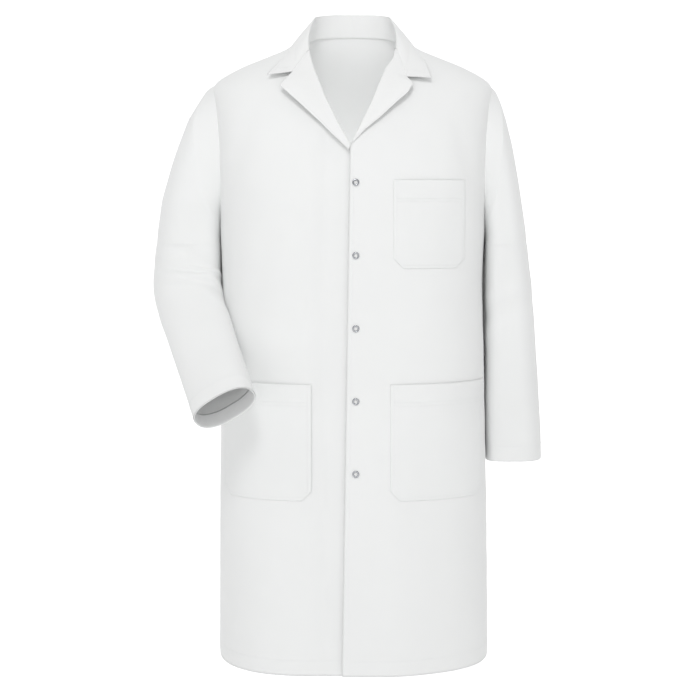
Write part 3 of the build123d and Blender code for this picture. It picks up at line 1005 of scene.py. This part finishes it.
def sleeve_folds(side, psi, part, cap):
    """Outward displacement of the cloth; part is 0 at the first level ring and 1 at the cuff."""
    if cap:
        return 0.8 * np.sin(2.0 * psi + 5 * part) * part
    if side > 0:
        front = bump(round_from(psi, 90), 0, 62)
        folds = 2.2 * bump(part + 0.05 * np.cos(psi), 0.22, 0.045) * front
        folds = folds - 1.8 * bump(part + 0.04 * np.cos(psi), 0.30, 0.05) * front
        folds = folds + 1.4 * bump(part, 0.42, 0.07) * np.sin(psi * 2 + 0.6)
        folds = folds + 0.9 * np.sin(9 * part + 2 * psi) * smooth(part * 3)
        return folds * (1 - 0.6 * smooth((part - 0.85) / 0.15))
    slant = 0.075 * np.cos(psi + 0.5)
    folds = 0.0
    for height, share, place, width, direction, breadth in RIGHT_FOLDS:
        around = bump(round_from(psi, direction), 0, breadth)
        folds = folds + height * bump(part + share * slant, place, width) * around
    folds = folds + 0.9 * np.sin(7 * part + 2 * psi) * smooth((part - 0.3) * 3)
    return folds * (1 - 0.7 * smooth((part - 0.88) / 0.12))


def ring_normals(grid, outward):
    """Unit normals of a sleeve's rings, on the side that outward points to."""
    around = np.roll(grid, -1, 1) - np.roll(grid, 1, 1)
    normal = unit(np.cross(around, np.gradient(grid, axis=0)))
    return normal * np.sign((normal * outward).sum(2))[..., None]


def sleeve_grid(side):
    """All rings of a sleeve from the armhole to the cuff."""
    psi = np.linspace(0, 2 * math.pi, AROUND, endpoint=False) + math.pi
    rows = LEFT_ROWS if side > 0 else RIGHT_ROWS
    rings = cap_points(rows, side, psi)
    centres = [ring.mean(0) for ring in rings]
    parts = [np.full(AROUND, k / (CAP_RINGS - 1)) for k in range(CAP_RINGS)]
    stations = left_lower_stations() if side > 0 else right_lower_stations()
    for k, station in enumerate(stations[1:], 1):
        along_arm = k / (len(stations) - 1)
        freed = smooth((along_arm - 0.16) / 0.2) if side < 0 else 0.0
        side_square = SIDE_SQUARE + (SLEEVE_SQUARE - SIDE_SQUARE) * freed
        rings.append(ring_points(station[:3], station[3:6], station[6:9], psi, side_square))
        centres.append(station[:3])
        parts.append(np.full(AROUND, along_arm))
    grid = np.array(rings)
    normal = ring_normals(grid, grid - np.array(centres)[:, None, :])
    for k in range(len(grid)):
        cap = k < CAP_RINGS
        grid[k] = grid[k] + normal[k] * sleeve_folds(side, psi, parts[k], cap)[:, None]
    return grid, normal


def sleeve_cut(grid, side):
    """The ring where the sleeve's upper and lower pieces meet."""
    middle = grid.mean(1)
    if side > 0:
        return int(np.argmin(np.abs(middle[:, 2] - ELBOW_CUT)))
    away = (middle - np.array(RIGHT_CREASE)) @ np.array(BEND_MIDDLE)
    return int(np.argmax(away > -ELBOW_LEAD))


sleeves = {}
for side in (1, -1):
    name = SIDE_NAME[side]
    grid, normal = sleeve_grid(side)
    shade = ring_normals(grid, normal)
    cut = sleeve_cut(grid, side)
    above = grid[:cut + 1 + TUCK_RINGS].copy()
    for k in range(1, TUCK_RINGS + 1):
        above[cut + k] -= shade[cut + k] * TUCK_DEPTH * k / TUCK_RINGS
    upper = cloth_piece("cloth_" + name + "_upper_sleeve", above, sleeve_cloth,
                        normals=shade[:cut + 1 + TUCK_RINGS], closed=True, flip=side > 0)
    bend_with_shoulder(upper, side)
    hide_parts(name + "_sleeve_head", name + "_upper_sleeve")
    lower = cloth_piece("cloth_" + name + "_forearm_sleeve", grid[cut:], sleeve_cloth,
                        normals=shade[cut:], closed=True, flip=side > 0)
    bend_with_elbow(lower, side)
    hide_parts(name + "_forearm_sleeve")
    last = len(grid) - 1
    steps = np.linalg.norm(np.diff(grid.mean(1), axis=0), axis=1)[::-1]
    hem_rings = int(np.argmax(np.cumsum(steps) > CUFF_HEM)) + 1
    inside = grid[last - hem_rings:] - normal[last - hem_rings:] * (CLOTH + 0.5)
    # one more ring carries the hem round the sleeve's edge
    rim = grid[last] - normal[last] * 0.45 + (grid[last] - grid[last - 1]) * 0.12
    inside = np.concatenate([inside, rim[None]], 0)
    # the hem is given the lighter cloth: painted light inside the shaded sleeve end
    hem = cloth_piece("cloth_" + name + "_cuff_hem", inside, cuff_cloth_painted_light, 0.8, closed=True, flip=side > 0)
    bend_with_elbow(hem, side)
    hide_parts(name + "_cuff_hem")
    ring = grid[last - hem_rings + 1]
    closed_ring = np.vstack([ring, ring[:1]])
    closed_normal = np.vstack([normal[last - hem_rings + 1], normal[last - hem_rings + 1][:1]])
    cuff_line = (closed_ring + closed_normal * 0.15, closed_normal)
    line = stitches([cuff_line], thread, "thread_" + name + "_cuff")
    bend_with_elbow(line, side)
    sleeves[side] = (upper, lower)


# ---- snaps -----------------------------------------------------------
for cad_name in ("snap_prong_rings", "snap_sockets", "snap_studs", "snap_back_rings"):
    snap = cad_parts[cad_name]
    snap.data.materials.clear()
    snap.data.materials.append(nickel)


# ---- each sleeve's two pieces, unpacked and left as they are ---------
for side in (1, -1):
    upper, lower = sleeves[side]


# ---- floor, light and camera, in metres ------------------------------
FLOOR = -1.42
SWEEP_FRONT = -9.0       # Y of the floor's near edge, and of the foot of the curve
SWEEP_FOOT = 6.0
SWEEP_RADIUS = 1.5
SWEEP_STEPS = 16
SWEEP_TOP = 9.0
SWEEP_HALF = 12.0        # half its width


def studio():
    """One white sweep: floor, a wide curve and a wall behind."""
    profile = [(SWEEP_FRONT, FLOOR), (SWEEP_FOOT, FLOOR)]
    for k in range(1, SWEEP_STEPS + 1):
        angle = math.pi / 2 * k / SWEEP_STEPS
        rise = SWEEP_RADIUS * (1 - math.cos(angle))
        profile.append((SWEEP_FOOT + SWEEP_RADIUS * math.sin(angle), FLOOR + rise))
    profile.append((SWEEP_FOOT + SWEEP_RADIUS, SWEEP_TOP))
    verts = [(x, y, z) for y, z in profile for x in (-SWEEP_HALF, SWEEP_HALF)]
    faces = [[2 * k, 2 * k + 1, 2 * k + 3, 2 * k + 2] for k in range(len(profile) - 1)]
    sweep = mesh_object("studio_sweep", verts, faces)
    paper, tree, shader = new_material("white_paper")
    where = node(tree, "ShaderNodeTexCoord")
    parts = node(tree, "ShaderNodeSeparateXYZ", [("Vector", where, "Object")])
    glow = node(tree, "ShaderNodeMapRange", [("Value", parts, "Y")],
                {"From Min": 0.1, "From Max": 1.0, "To Min": 0.05, "To Max": 0.5})
    tree.links.new(glow.outputs["Result"], shader.inputs["Emission Strength"])
    set_sockets(shader, {"Base Color": (0.93, 0.93, 0.93, 1), "Roughness": 0.9,
                         "Specular IOR Level": 0.1, "Emission Color": (1, 1, 1, 1)})
    sweep.data.materials.append(paper)


def stand(obj, place, target):
    """Puts a light or camera at a place, facing a target, and in the scene."""
    obj.location = place
    obj.rotation_euler = (Vector(target) - Vector(place)).to_track_quat("-Z", "Y").to_euler()
    bpy.context.scene.collection.objects.link(obj)


def soft_light(name, place, target, size, power):
    """A square area light that the camera does not see."""
    data = bpy.data.lights.new(name, "AREA")
    data.shape = "SQUARE"
    data.size = size
    data.energy = power
    light = bpy.data.objects.new(name, data)
    light.visible_camera = False
    stand(light, place, target)


studio()
soft_light("key", (-0.3, -2.3, 2.1), (0, 0, -0.2), 0.8, 27)
soft_light("low_fill", (-0.3, -3.2, -0.9), (0, 0, -0.4), 1.8, 13)
soft_light("side_fill", (1.2, -3.0, 0.0), (0, 0, -0.4), 1.6, 2.5)
soft_light("inside_neck", (0, -0.03, -0.32), (0, 0.07, 0.0), 0.14, 0.27)

world = bpy.data.worlds.new("white_room")
world.use_nodes = True
set_sockets(world.node_tree.nodes["Background"], {"Color": (1, 1, 1, 1), "Strength": 0.64})
bpy.context.scene.world = world
bpy.context.scene.view_settings.view_transform = "Standard"

CAMERA = (-0.0042, -2.756, -0.252)
AIM = (-0.0042, 0.0, -0.510)
lens = bpy.data.cameras.new("camera")
lens.lens = 84.13
lens.sensor_width = 36.0
camera = bpy.data.objects.new("camera", lens)
stand(camera, CAMERA, AIM)
bpy.context.scene.camera = camera


# ---- scene brought up to date ----------------------------------------
bpy.context.view_layer.update()
